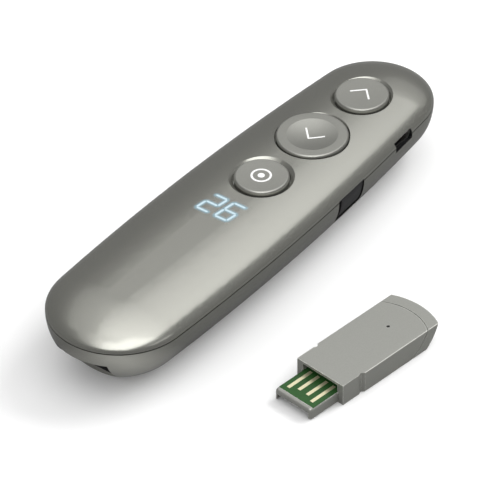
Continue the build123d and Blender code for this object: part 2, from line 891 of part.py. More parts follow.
frame = block(-plug_length, frame_inner, -plug_width / 2, plug_width / 2, plug_base, plug_top)
frame = fillet(frame.edges().filter_by(Axis.Z).group_by(Axis.X)[0], plug_corner)
upper_edges = frame.edges().group_by(Axis.Z)[-1]
frame = fillet(upper_edges.filter_by_position(Axis.X, -plug_length, plug_corner - plug_length), plug_edge)
usb_board_bottom = plug_top + usb_board_proud - usb_board_thickness
board_front_x = plug_front_rim - plug_length
frame -= block(board_front_x, frame_inner, -pocket_half, pocket_half, usb_board_bottom, plug_top)
underside_half = plug_width / 2 - plug_wall
frame -= block(
    -plug_length - overshoot,
    -plug_wall,
    -underside_half,
    underside_half,
    plug_base,
    usb_board_bottom - plug_floor,
)
usb_board_top = usb_board_bottom + usb_board_thickness
usb_board_half = pocket_half - usb_board_fit
usb_board = block(
    board_front_x + usb_board_fit,
    usb_board_inner,
    -usb_board_half,
    usb_board_half,
    usb_board_bottom,
    usb_board_top,
)
contact_rows = (
    (contact_outer, contact_outer_setback),
    (contact_inner, contact_inner_setback),
)
contacts = []
for side in (-1, 1):
    for offset, setback in contact_rows:
        contacts.append(block(
            board_front_x + setback,
            contact_end,
            side * offset - contact_width / 2,
            side * offset + contact_width / 2,
            usb_board_top,
            usb_board_top + contact_thickness,
        ))
chip = centred_block(
    usb_chip_x,
    0,
    usb_chip_size,
    usb_chip_size,
    usb_board_top,
    usb_board_top + usb_chip_height,
)
light_pipe_radius = light_hole_radius - light_pipe_fit
light = post(light_hole_x, 0, light_pipe_radius, usb_board_top, receiver_height - light_pipe_recess)

place = Pos(receiver_rest_x, receiver_rest_y, 0) * Rot(0, 0, receiver_turn)
receiver_parts = {
    "receiver_case": case,
    "receiver_cap": cap,
    "receiver_plug_frame": frame,
    "receiver_board": usb_board,
    "receiver_contacts": Compound(children=contacts),
    "receiver_chip": chip,
    "receiver_light": light,
}
for name, shape in receiver_parts.items():
    solids[name] = place * shape

# ---------------------------------------------------------------- files

for name, shape in solids.items():
    export_step(shape, f"parts/{name}.step")
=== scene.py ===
import json
from math import cos, pi, radians, sin, sqrt, tan

import bpy
from mathutils import Matrix, Vector


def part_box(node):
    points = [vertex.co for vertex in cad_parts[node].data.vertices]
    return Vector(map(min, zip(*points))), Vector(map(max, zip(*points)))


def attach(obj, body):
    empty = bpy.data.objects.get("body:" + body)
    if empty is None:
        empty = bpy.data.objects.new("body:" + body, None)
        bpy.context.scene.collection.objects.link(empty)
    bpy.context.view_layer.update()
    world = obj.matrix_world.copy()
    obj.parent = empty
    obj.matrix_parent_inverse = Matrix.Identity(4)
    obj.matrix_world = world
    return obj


# Looks of a wireless presentation clicker and of its USB receiver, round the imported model.
# Everything is in metres, in the model's own frame: X to the head, Y to the left, Z up.

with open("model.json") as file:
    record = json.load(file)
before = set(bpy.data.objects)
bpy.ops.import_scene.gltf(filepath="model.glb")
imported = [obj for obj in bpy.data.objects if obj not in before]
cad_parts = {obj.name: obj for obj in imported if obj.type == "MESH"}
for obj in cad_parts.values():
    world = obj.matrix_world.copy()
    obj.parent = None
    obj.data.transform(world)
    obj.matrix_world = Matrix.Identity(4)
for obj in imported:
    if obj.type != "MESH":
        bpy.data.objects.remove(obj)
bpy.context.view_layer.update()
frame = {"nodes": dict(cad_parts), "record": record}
nodes = frame["nodes"]
MM = 0.001                      # a millimetre in metres
near = 0.001 * MM               # places closer than this are the same

# ---------------------------------------------------------------- sizes of the finish

# Signs printed on the keys.
stroke_width = 0.46 * MM        # of the arrowheads
chevron_arm = 4.17 * MM         # along the middle of an arm
previous_apex = 2.1 * MM        # from the key's middle towards the head
next_apex = 1.4 * MM            # from the key's middle towards the tail
ring_radius = 2.67 * MM
ring_stroke = 0.55 * MM
dot_radius = 0.9 * MM
circle_sides = 96
sign_shift = 0.15 * MM          # of every sign and figure, to the left of the middle
sign_lift = 0.004 * MM          # clear of the surface below
sign_height = 0.02 * MM
sign_drop = 1.0 * MM            # from where a flat sign starts down to its surface

# The lit figures.
figure_height = 6.7 * MM        # between the middles of a figure's top and bottom bars
figure_width = 3.65 * MM
figure_pitch = 5.7 * MM
figure_slant = radians(7.5)
bar_width = 0.6 * MM
bar_gap = 0.2 * MM
bar_lift = 0.02 * MM
glow_width = 0.85 * MM          # soft light round each bar
glow_height = 0.01 * MM

# Where the casing shows black, as its unpainted moulding and as painted shade: the slider's window,
# the socket's slot and the receiver's bay.
slider_travel = 1.3 * MM
window_length = 11.14 * MM
window_height = 6.62 * MM       # from its lower edge up to the casing's seam
# The black past the seam is a painted shadow of the seam's gap.
seam_shadow_over = 0.42 * MM         # how far its black edge runs up past the seam
slot_gap = 0.17 * MM            # round the socket
bay_end_gap = 0.12 * MM         # from the opening's box to where the bay ends
bay_side_gap = 0.57 * MM
bay_top_gap = 0.10 * MM
lip_depth = 1.34 * MM           # from the opening's box down to the lip's lower edge
through_wall = 3.0 * MM         # out past the casing's wall, and in behind it

# Along this reach the receiver's sharp edges carry more painted highlight.
nose_reach = 9.0 * MM           # from the receiver's front to behind its snap grooves


def middle_of(node):
    low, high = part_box(node)
    return (low + high) / 2


# ---------------------------------------------------------------- shader groups


def new_group(name, inputs, outputs):
    """Empty shader node group with the given float inputs (name, value) and outputs."""
    group = bpy.data.node_groups.new(name, "ShaderNodeTree")
    for label, value in inputs:
        socket = group.interface.new_socket(label, in_out="INPUT", socket_type="NodeSocketFloat")
        socket.default_value = value
    for label in outputs:
        group.interface.new_socket(label, in_out="OUTPUT", socket_type="NodeSocketFloat")
    return group, group.nodes.new("NodeGroupInput"), group.nodes.new("NodeGroupOutput")


def noise_node(tree, coordinates, scale, detail):
    """Noise between 0 and 1; the scale is a number or an output to link."""
    noise = tree.nodes.new("ShaderNodeTexNoise")
    noise.inputs["Detail"].default_value = detail
    tree.links.new(coordinates, noise.inputs["Vector"])
    if isinstance(scale, (int, float)):
        noise.inputs["Scale"].default_value = scale
    else:
        tree.links.new(scale, noise.inputs["Scale"])
    return noise.outputs["Fac"]


def math_node(tree, operation, *values):
    """Result of a maths operation on numbers or outputs."""
    node = tree.nodes.new("ShaderNodeMath")
    node.operation = operation
    for socket, value in zip(node.inputs, values):
        if isinstance(value, (int, float)):
            socket.default_value = value
        else:
            tree.links.new(value, socket)
    return node.outputs[0]


def vector_node(tree, operation, *values):
    """Result of a vector operation on tuples or outputs: a number for a product or distance."""
    node = tree.nodes.new("ShaderNodeVectorMath")
    node.operation = operation
    for socket, value in zip(node.inputs, values):
        if isinstance(value, tuple):
            socket.default_value = value
        else:
            tree.links.new(value, socket)
    return node.outputs["Value" if operation in ("DOT_PRODUCT", "DISTANCE") else "Vector"]


def spread_node(tree, value, low, high, to_low, to_high):
    """Value between low and high mapped to between to_low and to_high, and held there."""
    node = tree.nodes.new("ShaderNodeMapRange")
    limits = (("From Min", low), ("From Max", high), ("To Min", to_low), ("To Max", to_high))
    for label, number in limits:
        if isinstance(number, (int, float)):
            node.inputs[label].default_value = number
        else:
            tree.links.new(number, node.inputs[label])
    tree.links.new(value, node.inputs["Value"])
    return node.outputs["Result"]


def blend_node(tree, mask, first, second):
    """The first value where the mask is 0 and the second where it is 1."""
    return spread_node(tree, mask, 0.0, 1.0, first, second)


def place_node(tree):
    """The place on the piece itself, in metres."""
    return tree.nodes.new("ShaderNodeTexCoord").outputs["Object"]


def split_node(tree, vector):
    """X, Y and Z of a vector, as separate outputs."""
    parts = tree.nodes.new("ShaderNodeSeparateXYZ")
    tree.links.new(vector, parts.inputs[0])
    return parts.outputs


def build_grain_group():
    """Fine grain of a moulded or sprayed surface: a tone about 1, and a height."""
    inputs = [("Scale", 4000.0), ("Contrast", 0.1)]
    group, start, end = new_group("fine_grain", inputs, ["Tone", "Height"])
    fine = noise_node(group, place_node(group), start.outputs["Scale"], 3.0)
    shift = math_node(group, "SUBTRACT", fine, 0.5)
    scaled = math_node(group, "MULTIPLY", shift, start.outputs["Contrast"])
    tone = math_node(group, "ADD", scaled, 1.0)
    group.links.new(tone, end.inputs["Tone"])
    group.links.new(fine, end.inputs["Height"])
    return group


def build_mottle_group():
    """Slow unevenness of a finish, as from handling: a value between 0 and 1."""
    group, start, end = new_group("soft_mottle", [("Scale", 90.0), ("Sharpness", 0.3)], ["Mask"])
    slow = noise_node(group, place_node(group), start.outputs["Scale"], 4.0)
    softness = math_node(group, "SUBTRACT", 1.0, start.outputs["Sharpness"])
    half = math_node(group, "MULTIPLY", softness, 0.5)
    low = math_node(group, "SUBTRACT", 0.5, half)
    high = math_node(group, "ADD", 0.5, half)
    group.links.new(spread_node(group, slow, low, high, 0.0, 1.0), end.inputs["Mask"])
    return group


def build_edge_group():
    """Where a sharp edge has been rubbed, and on some finishes lit with a painted highlight: the
    rounded normal leaves the true one there.
    """
    group, start, end = new_group("edge_scuff_and_highlight", [("Width", 0.0003), ("Amount", 1.0)], ["Mask"])
    bevel = group.nodes.new("ShaderNodeBevel")
    bevel.samples = 4
    group.links.new(start.outputs["Width"], bevel.inputs["Radius"])
    true_normal = group.nodes.new("ShaderNodeNewGeometry").outputs["Normal"]
    together = vector_node(group, "DOT_PRODUCT", bevel.outputs["Normal"], true_normal)
    # The two normals part by 14 degrees where the pale edge starts, and by 41 where it is full.
    bend = spread_node(group, together, 0.97, 0.75, 0.0, 1.0)
    # Wear and the painted highlight come in patches a millimetre or two long.
    patchy = noise_node(group, place_node(group), 700.0, 3.0)
    patches = spread_node(group, patchy, 0.4, 0.6, 0.35, 1.0)
    scuff_and_highlight = math_node(group, "MULTIPLY", bend, patches)
    group.links.new(math_node(group, "MULTIPLY", scuff_and_highlight, start.outputs["Amount"]), end.inputs["Mask"])
    return group


def build_box_group():
    """1 inside an upright box, given by its middle and half its sides, and 0 outside it."""
    group, start, end = new_group("inside_box", [], ["Mask"])
    for label in ("Middle", "Half"):
        group.interface.new_socket(label, in_out="INPUT", socket_type="NodeSocketVector")
    from_middle = vector_node(group, "SUBTRACT", place_node(group), start.outputs["Middle"])
    away = vector_node(group, "ABSOLUTE", from_middle)
    room = split_node(group, vector_node(group, "SUBTRACT", start.outputs["Half"], away))
    least = math_node(group, "MINIMUM", room["X"], room["Y"])
    least = math_node(group, "MINIMUM", least, room["Z"])
    group.links.new(math_node(group, "GREATER_THAN", least, 0.0), end.inputs["Mask"])
    return group


def build_rounded_group():
    """Painted highlight on the rounded edges along a case, past a place along X: where it faces up
    and sideways.
    """
    group, start, end = new_group("rounded_edge_highlight", [("From", 0.0), ("Amount", 1.0)], ["Mask"])
    facing = split_node(group, group.nodes.new("ShaderNodeTexCoord").outputs["Normal"])
    upward = spread_node(group, facing["Z"], 0.15, 0.35, 0.0, 1.0)
    sideways = spread_node(group, math_node(group, "ABSOLUTE", facing["Y"]), 0.3, 0.5, 0.0, 1.0)
    aslant = math_node(group, "MULTIPLY", upward, sideways)
    place = split_node(group, place_node(group))
    past = math_node(group, "GREATER_THAN", place["X"], start.outputs["From"])
    mask = math_node(group, "MULTIPLY", aslant, past)
    group.links.new(math_node(group, "MULTIPLY", mask, start.outputs["Amount"]), end.inputs["Mask"])
    return group


grain_group = build_grain_group()
mottle_group = build_mottle_group()
scuff_highlight_group = build_edge_group()
box_group = build_box_group()
rim_highlight_group = build_rounded_group()

# ---------------------------------------------------------------- materials


def new_material(name):
    """A new material, its node tree and the one shader in it."""
    material = bpy.data.materials.new(name)
    material.use_nodes = True
    tree = material.node_tree
    return material, tree, tree.nodes["Principled BSDF"]


def place_group(tree, group, **values):
    """Put a shader group into a material with its own values."""
    node = tree.nodes.new("ShaderNodeGroup")
    node.node_tree = group
    for label, value in values.items():
        node.inputs[label].default_value = value
    return node


def mix_colours(tree, factor, first, second):
    """The first colour where the factor is 0 and the second where it is 1."""
    node = tree.nodes.new("ShaderNodeMix")
    node.data_type = "RGBA"
    factor_in, first_in, second_in = node.inputs[0], node.inputs[6], node.inputs[7]
    for socket, value in ((factor_in, factor), (first_in, first), (second_in, second)):
        if isinstance(value, (tuple, float, int)):
            socket.default_value = value if isinstance(value, (float, int)) else (*value, 1.0)
        else:
            tree.links.new(value, socket)
    return node.outputs[2]


def scaled_colour(tree, colour, factor):
    """A colour made lighter or darker by a factor that changes over the surface."""
    node = tree.nodes.new("ShaderNodeVectorMath")
    node.operation = "SCALE"
    node.inputs[0].default_value = colour
    tree.links.new(factor, node.inputs["Scale"])
    return node.outputs[0]


def finish_material(
    name,
    colour,
    roughness,
    metallic=0.0,
    coat=0.0,
    coat_roughness=0.1,
    grain=(4000.0, 0.1, 0.02),
    mottle=(90.0, 0.04),
    scuff_and_highlight_size=(0.0003, 0.3),
    scuff_and_highlight_colour=None,
    specular=0.5,
    unpainted_and_shaded=(),
    rim_highlight=None,
    nose_highlight=None,
):
    """Painted, moulded or plated surface with grain, slow unevenness, rubbed edges and painted
    highlights.

    grain is the grain's scale, contrast and bump; mottle the scale and how much the
    roughness shifts; scuff_and_highlight_size the width and amount of the pale edges, rubbed
    on most finishes and a painted highlight on the keys and the receiver. unpainted_and_shaded
    lists boxes, each a middle and half its sides, where the paint ends and black shows, as the
    unpainted moulding and as painted shade in recesses. rim_highlight gives the X past which
    rounded edges carry a painted highlight, and how strong. nose_highlight gives the X before
    which sharp edges carry more painted highlight, and how much.
    """
    material, tree, shader = new_material(name)
    fine = place_group(tree, grain_group, Scale=grain[0], Contrast=grain[1])
    slow = place_group(tree, mottle_group, Scale=mottle[0])
    edge = place_group(tree, scuff_highlight_group, Width=scuff_and_highlight_size[0], Amount=scuff_and_highlight_size[1])
    scuff_and_highlight = edge.outputs["Mask"]
    # A painted highlight on rounded edges that face up and sideways.
    if rim_highlight:
        rounded_highlight = place_group(tree, rim_highlight_group, From=rim_highlight[0], Amount=rim_highlight[1])
        scuff_and_highlight = math_node(tree, "MAXIMUM", scuff_and_highlight, rounded_highlight.outputs["Mask"])
    # More painted highlight on sharp edges towards the receiver's nose.
    if nose_highlight:
        place = split_node(tree, place_node(tree))
        nose_lit_amount = spread_node(tree, place["X"], nose_highlight[0], nose_highlight[0] + MM, nose_highlight[1], scuff_and_highlight_size[1])
        tree.links.new(nose_lit_amount, edge.inputs["Amount"])
    # Pale colour of rubbed edges, which on the keys and the receiver is a painted highlight.
    lighter = scuff_and_highlight_colour or tuple(min(1.0, 1.5 * part + 0.03) for part in colour)
    toned = scaled_colour(tree, colour, fine.outputs["Tone"])
    painted = mix_colours(tree, scuff_and_highlight, toned, lighter)
    # Black where the paint ends: the unpainted moulding, and painted shade in recesses and along
    # the seam's gap.
    if unpainted_and_shaded:
        mask = 0.0
        for middle, half in unpainted_and_shaded:
            box = place_group(tree, box_group, Middle=middle, Half=half)
            mask = math_node(tree, "MAXIMUM", box.outputs["Mask"], mask)
        painted = mix_colours(tree, mask, painted, moulding_and_shade_black)
        tree.links.new(blend_node(tree, mask, metallic, 0.0), shader.inputs["Metallic"])
        tree.links.new(blend_node(tree, mask, coat, 0.0), shader.inputs["Coat Weight"])
    tree.links.new(painted, shader.inputs["Base Color"])
    gloss = blend_node(tree, slow.outputs["Mask"], roughness - mottle[1], roughness + mottle[1])
    tree.links.new(gloss, shader.inputs["Roughness"])
    shader.inputs["Metallic"].default_value = metallic
    shader.inputs["Coat Weight"].default_value = coat
    shader.inputs["Coat Roughness"].default_value = coat_roughness
    shader.inputs["Specular IOR Level"].default_value = specular
    bump = tree.nodes.new("ShaderNodeBump")
    bump.inputs["Strength"].default_value = 0.4
    bump.inputs["Distance"].default_value = grain[2] * MM
    tree.links.new(fine.outputs["Height"], bump.inputs["Height"])
    tree.links.new(bump.outputs["Normal"], shader.inputs["Normal"])
    return material


def box_between(low, high):
    """An upright box as its middle and half its sides."""
    return (low + high) / 2, (high - low) / 2


def bay_moulding_shade_box():
    """The receiver's bay, from its opening down to the lower edge of the chamfered lip: black as
    unpainted moulding and as painted shade in the deep recess.
    """
    openings = frame["record"]["physics"]["openings"]
    low, high = next(opening["box_m"] for opening in openings if opening["name"] == "receiver_bay")
    below = Vector((bay_end_gap, bay_side_gap, lip_depth))
    above = Vector((bay_end_gap, bay_side_gap, bay_top_gap))
    return box_between(Vector(low) - below, Vector(high) + above)


def slot_moulding_shade_box():
    """The slot round the charging socket, through the casing's wall: black as unpainted moulding
    and as painted shade inside it.
    """
    low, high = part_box("charge_port_shell")
    around = Vector((slot_gap, through_wall, slot_gap))
    return box_between(low - around, high + around)


def window_moulding_shade_box():
    """The slider's window, through the casing's wall and up past the seam: black as unpainted
    moulding, and past the seam as a painted shadow of the seam's gap.
    """
    low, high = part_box("power_slider")
    # At rest the slider is at the head's end of its travel.
    middle_x = (low.x + high.x) / 2 - slider_travel / 2
    lower = Vector((middle_x - window_length / 2, low.y - through_wall, high.z - window_height))
    upper = Vector((middle_x + window_length / 2, high.y + through_wall, high.z + seam_shadow_over))
    return box_between(lower, upper)


# Black of the unpainted moulding, also used as painted shade in recesses.
moulding_and_shade_black = (0.008, 0.008, 0.0085)
receiver_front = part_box("receiver_case")[0].x
finishes = {
    "casing_paint": dict(
        colour=(0.330, 0.330, 0.298), roughness=0.245, metallic=0.85,
        coat=0.45, coat_roughness=0.07,
        grain=(5200.0, 0.25, 0.006), mottle=(45.0, 0.015), scuff_and_highlight_size=(0.0002, 0.15),
        # Black in the bay, the socket's slot and the slider's window: unpainted moulding and
        # painted shade.
        unpainted_and_shaded=(bay_moulding_shade_box(), slot_moulding_shade_box(), window_moulding_shade_box()),
    ),
    # The keys' pale rims are mostly a painted highlight on their rounded edges.
    "key_paint": dict(
        colour=(0.31, 0.31, 0.284), roughness=0.36, metallic=0.8,
        coat=0.35, coat_roughness=0.12,
        grain=(5200.0, 0.25, 0.006), mottle=(70.0, 0.02), scuff_and_highlight_size=(0.0003, 0.7),
        scuff_and_highlight_colour=(0.72, 0.72, 0.68),
    ),
    # The receiver's pale edges and rims are a painted highlight.
    "receiver_plastic": dict(
        colour=(0.295, 0.297, 0.273), roughness=0.34, metallic=0.45, coat=0.2,
        grain=(3800.0, 0.18, 0.010), mottle=(80.0, 0.02), scuff_and_highlight_size=(0.0004, 0.45),
        scuff_and_highlight_colour=(0.80, 0.80, 0.75),
        rim_highlight=(receiver_front, 0.9), nose_highlight=(receiver_front + nose_reach, 1.0),
    ),
    "black_plastic": dict(
        colour=(0.018, 0.018, 0.019), roughness=0.45,
        grain=(3000.0, 0.4, 0.02), scuff_and_highlight_size=(0.0002, 0.25),
    ),
    "switch_plastic": dict(colour=(0.06, 0.06, 0.062), roughness=0.5),
    "port_steel": dict(
        colour=(0.62, 0.61, 0.59), roughness=0.28, metallic=1.0,
        grain=(2600.0, 0.15, 0.01), mottle=(200.0, 0.08), scuff_and_highlight_size=(0.00015, 0.4),
    ),
    "main_board_green": dict(
        colour=(0.02, 0.16, 0.05), roughness=0.35, coat=0.4,
        grain=(900.0, 0.3, 0.02),
    ),
    "display_white": dict(colour=(0.8, 0.8, 0.8), roughness=0.6),
    "display_film": dict(colour=(0.8, 0.85, 0.88), roughness=0.55),
    "display_light": dict(colour=(0.9, 0.93, 0.8), roughness=0.2, coat=0.5),
    "battery_wrap": dict(
        colour=(0.62, 0.62, 0.64), roughness=0.35, metallic=0.9,
        grain=(700.0, 0.15, 0.06),
    ),
    "chip_black": dict(
        colour=(0.015, 0.015, 0.016), roughness=0.55,
        grain=(2400.0, 0.5, 0.02),
    ),
    "can_steel": dict(colour=(0.6, 0.6, 0.58), roughness=0.3, metallic=1.0),
    "antenna_ceramic": dict(colour=(0.78, 0.74, 0.66), roughness=0.6),
    "barrel_brass": dict(colour=(0.72, 0.52, 0.22), roughness=0.25, metallic=1.0),
    "receiver_board_green": dict(
        colour=(0.022, 0.088, 0.018), roughness=0.45, coat=0.1, specular=0.2,
        grain=(1200.0, 0.35, 0.01), mottle=(300.0, 0.06), scuff_and_highlight_size=(0.0002, 0.2),
    ),
    "contact_gold": dict(
        colour=(0.80, 0.74, 0.50), roughness=0.32, metallic=0.7,
        grain=(2600.0, 0.12, 0.004), mottle=(400.0, 0.08), scuff_and_highlight_size=(0.0001, 0.2),
    ),
    "light_pipe": dict(colour=(0.012, 0.012, 0.013), roughness=0.15, coat=0.5),
    "sign_white": dict(
        colour=(0.86, 0.86, 0.85), roughness=0.5,
        grain=(2500.0, 0.05, 0.004),
    ),
}
materials = {name: finish_material(name, **finish) for name, finish in finishes.items()}


def window_material():
    """Clear, slightly hazy plastic of the pointer's window at the head."""
    material, tree, shader = new_material("window_clear")
    fine = place_group(tree, mottle_group, Scale=400.0)
    shader.inputs["Base Color"].default_value = (0.55, 0.56, 0.58, 1.0)
    shader.inputs["Transmission Weight"].default_value = 0.9
    shader.inputs["IOR"].default_value = 1.49
    haze = blend_node(tree, fine.outputs["Mask"], 0.02, 0.07)
    tree.links.new(haze, shader.inputs["Roughness"])
    return material


def lit_material(name, colour, strength, fading):
    """Light shining through the paint: even in a bar, or fading out round the bars.

    fading is 0 for a bar, and otherwise how strong the soft light is where it starts.
    """
    material, tree, shader = new_material(name)
    fine = place_group(tree, grain_group, Scale=2500.0, Contrast=0.12)
    light = scaled_colour(tree, colour, fine.outputs["Tone"])
    tree.links.new(light, shader.inputs["Emission Color"])
    shader.inputs["Emission Strength"].default_value = strength
    shader.inputs["Base Color"].default_value = (0.05, 0.06, 0.07, 1.0)
    shader.inputs["Roughness"].default_value = 0.5
    shader.inputs["Specular IOR Level"].default_value = 0.1
    if fading:
        level = tree.nodes.new("ShaderNodeAttribute")
        level.attribute_name = "glow"
        soft = math_node(tree, "POWER", level.outputs["Fac"], 2.0)
        tree.links.new(math_node(tree, "MULTIPLY", soft, fading), shader.inputs["Alpha"])
    return material


materials["window_clear"] = window_material()
materials["bar_light"] = lit_material("bar_light", (0.70, 0.88, 0.96), 0.86, 0.0)
materials["glow_light"] = lit_material("glow_light", (0.50, 0.78, 0.92), 0.7, 0.4)

slots = {part["node"]: part["material_slot"] for part in frame["record"]["subparts"]}
for name, node in nodes.items():
    node.data.materials.clear()
    node.data.materials.append(materials[slots[name]])

# ---------------------------------------------------------------- modelling by hand


def deselect():
    """Deselect everything, as a new primitive is selected all over and the nodes are too."""
    bpy.ops.object.select_all(action="DESELECT")


def activate(piece):
    """Make a piece the only one that is selected, and the active one."""
    deselect()
    piece.select_set(True)
    bpy.context.view_layer.objects.active = piece


def pick(piece, kind, test):
    """Select the faces, edges or vertices of a piece for which test is true, and edit it."""
    activate(piece)
    bpy.ops.object.mode_set(mode="EDIT")
    bpy.ops.mesh.select_mode(type=kind)
    bpy.ops.mesh.select_all(action="DESELECT")
    bpy.ops.object.mode_set(mode="OBJECT")
    mesh = piece.data
    parts = {"VERT": mesh.vertices, "EDGE": mesh.edges, "FACE": mesh.polygons}[kind]
    for part in parts:
        part.select = test(part)
    bpy.ops.object.mode_set(mode="EDIT")


def leave():
    """Go back to object mode."""
    bpy.ops.object.mode_set(mode="OBJECT")


def settle(piece):
    """Put a piece's place into its mesh, so that its object is at the origin, unturned."""
    activate(piece)
    bpy.ops.object.transform_apply(location=True, rotation=True, scale=True)


def add_modifier(piece, kind, **settings):
    """Add a modifier to a piece and apply it."""
    activate(piece)
    modifier = piece.modifiers.new(kind.lower(), kind)
    for label, value in settings.items():
        setattr(modifier, label, value)
    bpy.ops.object.modifier_apply(modifier=modifier.name)


def named(name):
    """The piece that was just added, under its own name."""
    piece = bpy.context.active_object
    piece.name = name
    piece.data.name = name
    return piece


def lay_on(piece, node, lift, thickness):
    """Press a flat sign onto a node from above, then give it its thickness."""
    add_modifier(
        piece,
        "SHRINKWRAP",
        target=nodes[node],
        wrap_method="PROJECT",
        use_project_z=True,
        use_negative_direction=True,
        use_positive_direction=False,
        offset=lift,
    )
    add_modifier(piece, "SOLIDIFY", thickness=thickness, offset=1.0)


def dress(piece, material, body):
    """Give a piece its material and slot, and let it ride on a body."""
    piece.data.materials.clear()
    piece.data.materials.append(materials[material])
    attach(piece, body)
    return piece


def sign_place(node, ahead=0.0):
    """Where a sign on a key starts, above its middle or ahead of it."""
    middle = middle_of(node)
    return Vector((middle.x + ahead, middle.y + sign_shift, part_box(node)[1].z + sign_drop))


def chevron(name, node, body, apex_ahead, turn):
    """Printed arrowhead on a key: two adjacent sides of a square ring, cut off square.

    apex_ahead is where its tip lies, from the key's middle towards the head.
    """
    side = chevron_arm + 1.5 * stroke_width
    edge = side / 2
    deselect()
    bpy.ops.mesh.primitive_plane_add(size=side, location=(0, 0, 0))
    piece = named(name)
    pick(piece, "FACE", lambda face: True)
    bpy.ops.mesh.inset(thickness=stroke_width, depth=0)
    bpy.ops.mesh.delete(type="FACE")
    leave()
    far = edge - stroke_width
    pick(piece, "FACE", lambda face: min(face.center.x, face.center.y) < -far)
    bpy.ops.mesh.delete(type="FACE")
    for outward in ((-1, 0, 0), (0, -1, 0)):
        bpy.ops.mesh.select_all(action="SELECT")
        bpy.ops.mesh.bisect(plane_co=Vector(outward) * far, plane_no=outward, clear_outer=True)
    bpy.ops.mesh.select_all(action="SELECT")
    bpy.ops.mesh.subdivide(number_cuts=7)
    leave()
    to_middle = (side - stroke_width) / sqrt(2)
    pointing = Vector((cos(turn), sin(turn), 0))
    place = Matrix.Translation(sign_place(node, apex_ahead) - pointing * to_middle)
    piece.matrix_world = place @ Matrix.Rotation(turn - pi / 4, 4, "Z")
    settle(piece)
    lay_on(piece, node, sign_lift, sign_height)
    return dress(piece, "sign_white", body)


def disc(name, node, body, radius, ring_wide):
    """Printed disc over the middle of a key, or a ring when ring_wide is more than 0."""
    deselect()
    bpy.ops.mesh.primitive_circle_add(
        vertices=circle_sides, radius=radius, fill_type="NGON", location=sign_place(node)
    )
    piece = named(name)
    settle(piece)
    pick(piece, "FACE", lambda face: True)
    bpy.ops.mesh.inset(thickness=ring_wide or radius / 2, depth=0)
    if ring_wide:
        bpy.ops.mesh.delete(type="FACE")
    leave()
    lay_on(piece, node, sign_lift, sign_height)
    return dress(piece, "sign_white", body)


chevron("sign_previous", "previous_button", "previous_key", previous_apex, 0)
chevron("sign_next", "next_button", "next_key", -next_apex, pi)
disc("sign_ring", "pointer_button", "pointer_key", ring_radius, ring_stroke)
disc("sign_dot", "pointer_button", "pointer_key", dot_radius, 0)

# ---------------------------------------------------------------- the lit figures

display_middle = middle_of("display_mask")
crown_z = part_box("top_shell")[1].z
lean = tan(figure_slant)

# Across a figure runs to -Y and up a figure to +X, leaning with its height.
figure_plane = Matrix((
    (0, 1, 0, display_middle.x),
    (-1, -lean, 0, display_middle.y + sign_shift),
    (0, 0, 1, crown_z + sign_drop),
    (0, 0, 0, 1),
))

# Column and row of each bar's middle in its figure, and whether it stands upright.
bars = {
    "top": (0, 1, False),
    "middle": (0, 0, False),
    "bottom": (0, -1, False),
    "upper_left": (-1, 0.5, True),
    "upper_right": (1, 0.5, True),
    "lower_left": (-1, -0.5, True),
    "lower_right": (1, -0.5, True),
}

# Each figure's name, its middle across the display and its lit bars: they read 2 and 6.
figures = (
    ("tens", -figure_pitch / 2, (
        "top", "upper_right", "middle", "lower_left", "bottom",
    )),
    ("units", figure_pitch / 2, (
        "top", "upper_left", "middle", "lower_left", "lower_right", "bottom",
    )),
)


def bar_length(upright):
    """Length of a bar with the gaps at its ends."""
    return figure_height / 2 if upright else figure_width


def bar_place(shift, bar):
    """Middle of a bar across and along its figure, and whether it stands upright."""
    column, row, upright = bars[bar]
    return shift + column * figure_width / 2, row * figure_height / 2, upright


def flat_bar(name, across, along, upright):
    """One bar of a figure, flat: a strip whose two ends are drawn out to points."""
    tip = bar_width / 2
    straight = (bar_length(upright) - bar_gap) / 2 - tip
    deselect()
    bpy.ops.mesh.primitive_plane_add(size=1.0, location=(0, 0, 0))
    piece = named(name)
    bpy.ops.object.mode_set(mode="EDIT")
    bpy.ops.transform.resize(value=(2 * straight, bar_width, 1))
    leave()
    for end in (-1, 1):
        pick(piece, "EDGE", lambda edge: all(
            end * piece.data.vertices[i].co.x > straight - near for i in edge.vertices
        ))
        bpy.ops.mesh.extrude_region_move(TRANSFORM_OT_translate={"value": (end * tip, 0, 0)})
        bpy.ops.mesh.merge(type="CENTER")
        leave()
    turn = Matrix.Rotation(pi / 2 if upright else 0, 4, "Z")
    piece.matrix_world = Matrix.Translation((across, along, 0)) @ turn
    settle(piece)
    pick(piece, "FACE", lambda face: True)
    bpy.ops.mesh.subdivide(number_cuts=3)
    leave()
    return piece


def lay_on_crown(piece, lift, thickness, material):
    """Put a piece that was made flat, in a figure's own plane, onto the crown."""
    piece.data.transform(figure_plane)
    lay_on(piece, "top_shell", lift, thickness)
    return dress(piece, material, "handset")


def gap_to_bar(point, shift, bar):
    """How far a flat point is from the edge of one of a figure's bars."""
    across, along, upright = bar_place(shift, bar)
    lengthwise, sideways = abs(point.x - across), abs(point.y - along)
    if upright:
        lengthwise, sideways = sideways, lengthwise
    past_end = max(0.0, lengthwise - (bar_length(upright) - bar_width) / 2)
    return sqrt(past_end ** 2 + sideways ** 2) - bar_width / 2


